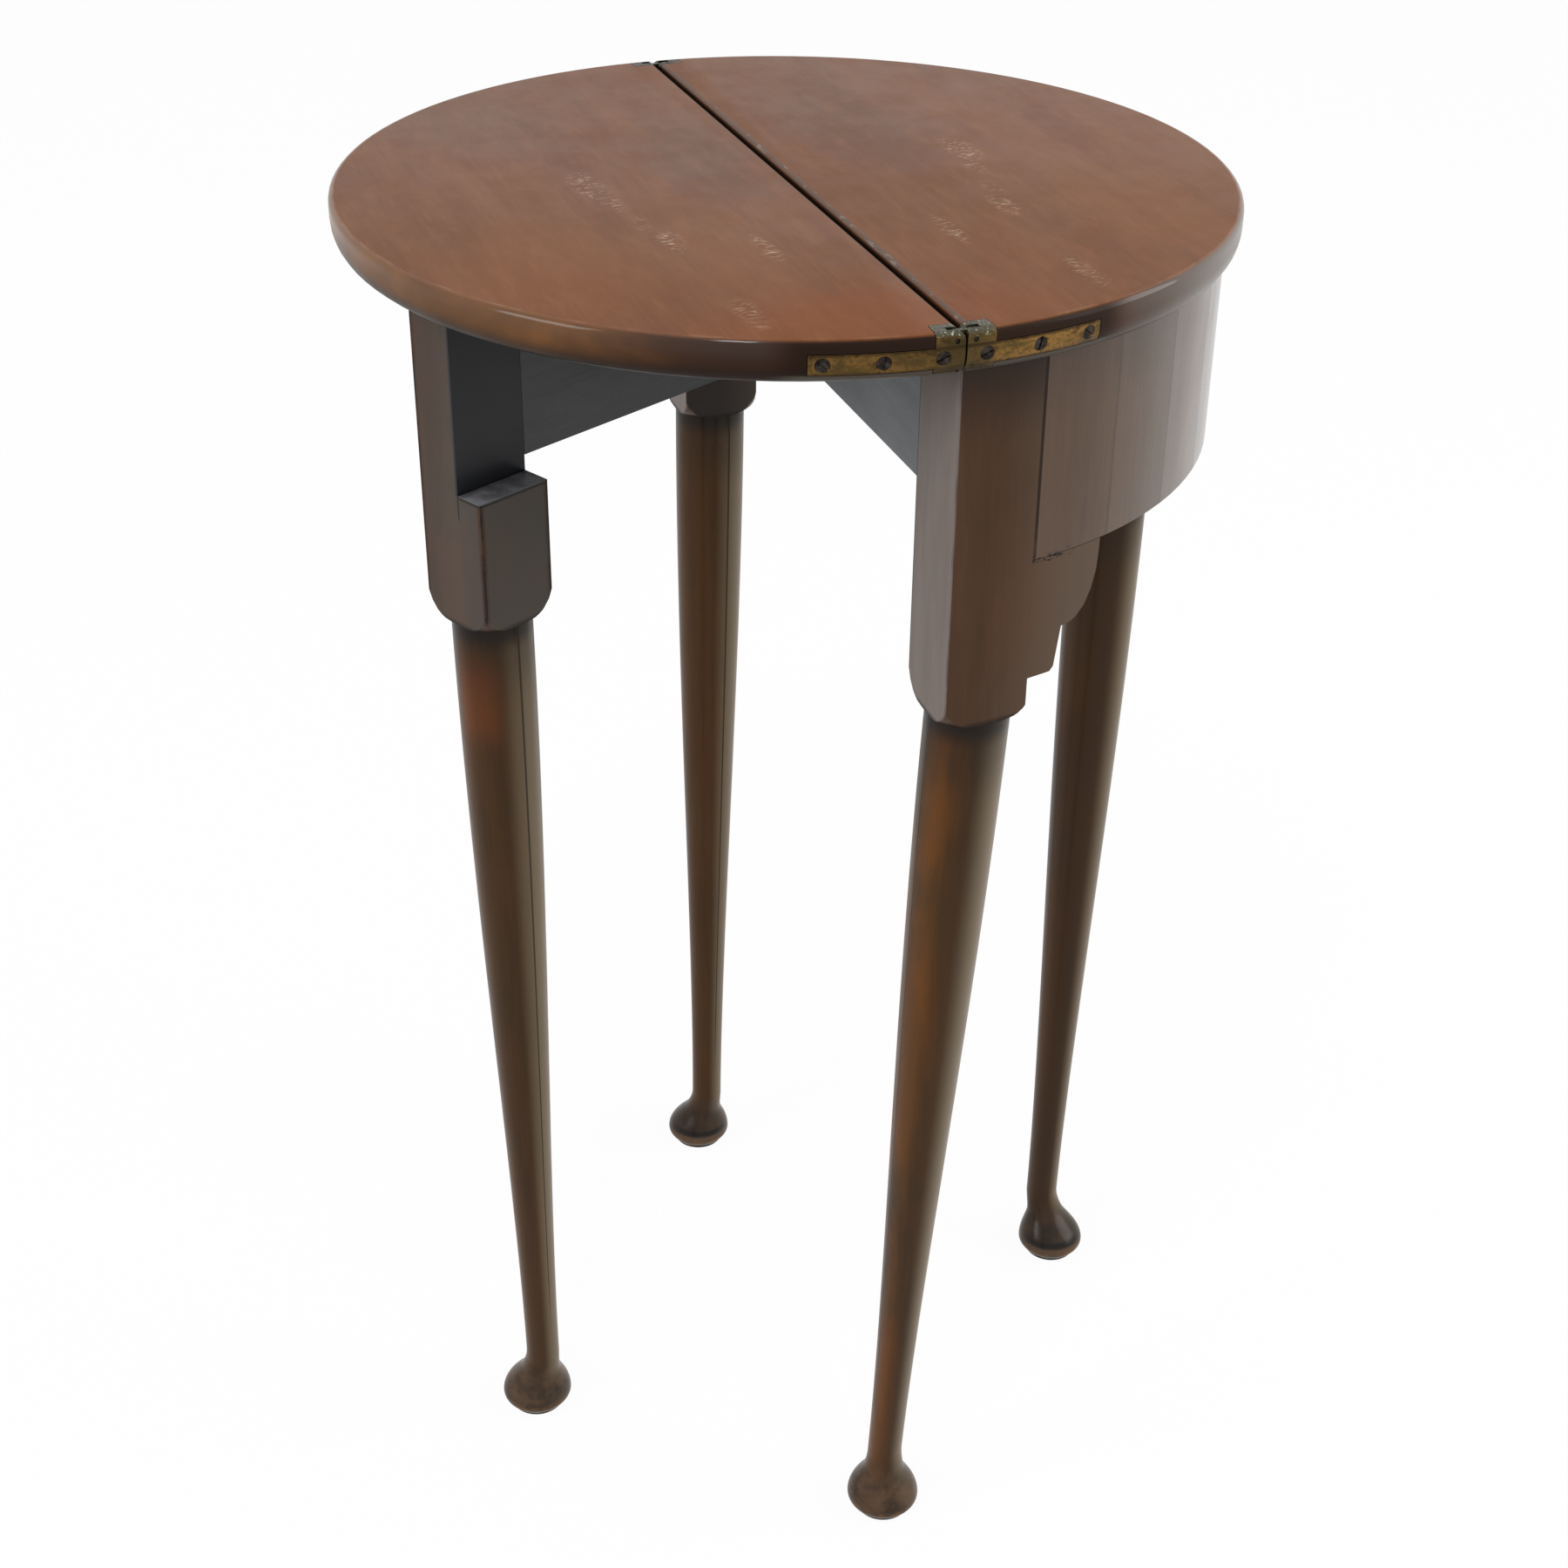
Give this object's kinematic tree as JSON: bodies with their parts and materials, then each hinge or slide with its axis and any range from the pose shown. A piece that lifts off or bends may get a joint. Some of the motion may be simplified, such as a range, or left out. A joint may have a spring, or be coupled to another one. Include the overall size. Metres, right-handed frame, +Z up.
{
  "type": "demilune drinks table",
  "caption": "Small fold-over demilune drinks table: half-round leaves on link hinges open to a full round, carried on turned legs with pad feet and a swinging gate leg",
  "frame": {"origin": "on the floor, under the middle of the round top", "axes": "+Z up; X runs along the joint between the two leaves; the bow front is on the -Y side, the flap and the open gate are on the +Y side"},
  "size_m": [0.42, 0.42, 0.7],
  "materials": {
    "mahogany_top": "waxed, worn",
    "mahogany_frame": "satin, worn",
    "mahogany_legs": "satin, worn",
    "oak_inside": "unfinished, dark with age",
    "aged_brass": "tarnished",
    "dark_steel": "dark, oxidised"
  },
  "bodies": {
    "frame": {"fixed_leaf": "mahogany_top", "bow_stave_left_1": "mahogany_frame", "bow_stave_left_2": "mahogany_frame", "bow_stave_left_3": "mahogany_frame", "bow_stave_left_4": "mahogany_frame", "bow_stave_left_5": "mahogany_frame", "bow_stave_left_6": "mahogany_frame", "bow_stave_right_1": "mahogany_frame", "bow_stave_right_2": "mahogany_frame", "bow_stave_right_3": "mahogany_frame", "bow_stave_right_4": "mahogany_frame", "bow_stave_right_5": "mahogany_frame", "bow_stave_right_6": "mahogany_frame", "leg_left": "mahogany_legs", "leg_right": "mahogany_legs", "leg_front": "mahogany_legs", "back_rail": "oak_inside", "knuckle_rail": "oak_inside", "fixing_block_rail_left": "oak_inside", "fixing_block_bow_left": "oak_inside", "fixing_block_rail_right": "oak_inside", "fixing_block_bow_right": "oak_inside", "hinge_plate_fixed_left": "aged_brass", "hinge_pin_fixed_left": "dark_steel", "hinge_plate_fixed_right": "aged_brass", "hinge_pin_fixed_right": "dark_steel", "hinge_screw_fixed_left_1": "dark_steel", "hinge_screw_fixed_left_2": "dark_steel", "hinge_screw_fixed_left_3": "dark_steel", "hinge_screw_fixed_right_1": "dark_steel", "hinge_screw_fixed_right_2": "dark_steel", "hinge_screw_fixed_right_3": "dark_steel", "knuckle_pin": "dark_steel", "fixing_screw_1": "dark_steel", "fixing_screw_2": "dark_steel", "fixing_screw_3": "dark_steel", "fixing_screw_4": "dark_steel", "knuckle_rail_screw_1": "dark_steel", "knuckle_rail_screw_2": "dark_steel", "knuckle_rail_screw_3": "dark_steel"},
    "hinge_links": {"hinge_link_left": "aged_brass", "hinge_link_right": "aged_brass"},
    "flap": {"flap_leaf": "mahogany_top", "hinge_plate_flap_left": "aged_brass", "hinge_plate_flap_right": "aged_brass", "hinge_pin_flap_left": "dark_steel", "hinge_pin_flap_right": "dark_steel", "hinge_screw_flap_left_1": "dark_steel", "hinge_screw_flap_left_2": "dark_steel", "hinge_screw_flap_left_3": "dark_steel", "hinge_screw_flap_right_1": "dark_steel", "hinge_screw_flap_right_2": "dark_steel", "hinge_screw_flap_right_3": "dark_steel"},
    "gate": {"gate_rail": "oak_inside", "gate_leg": "mahogany_legs"}
  },
  "joints": [
    {"name": "link_turn", "type": "hinge", "parent": "frame", "child": "hinge_links", "pos_m": [0, -0.004, 0.6962], "axis": [1, 0, 0], "range_deg": [0, 90]},
    {"name": "flap_fold", "type": "hinge", "parent": "hinge_links", "child": "flap", "pos_m": [0, 0.004, 0.6962], "axis": [1, 0, 0], "range_deg": [0, 90]},
    {"name": "gate_swing", "type": "hinge", "parent": "frame", "child": "gate", "pos_m": [0.068, -0.0163, 0], "axis": [0, 0, 1], "range_deg": [-27, 63]}
  ],
  "couplings": [
    {"joint": "flap_fold", "follows": "link_turn", "ratio": 1}
  ]
}
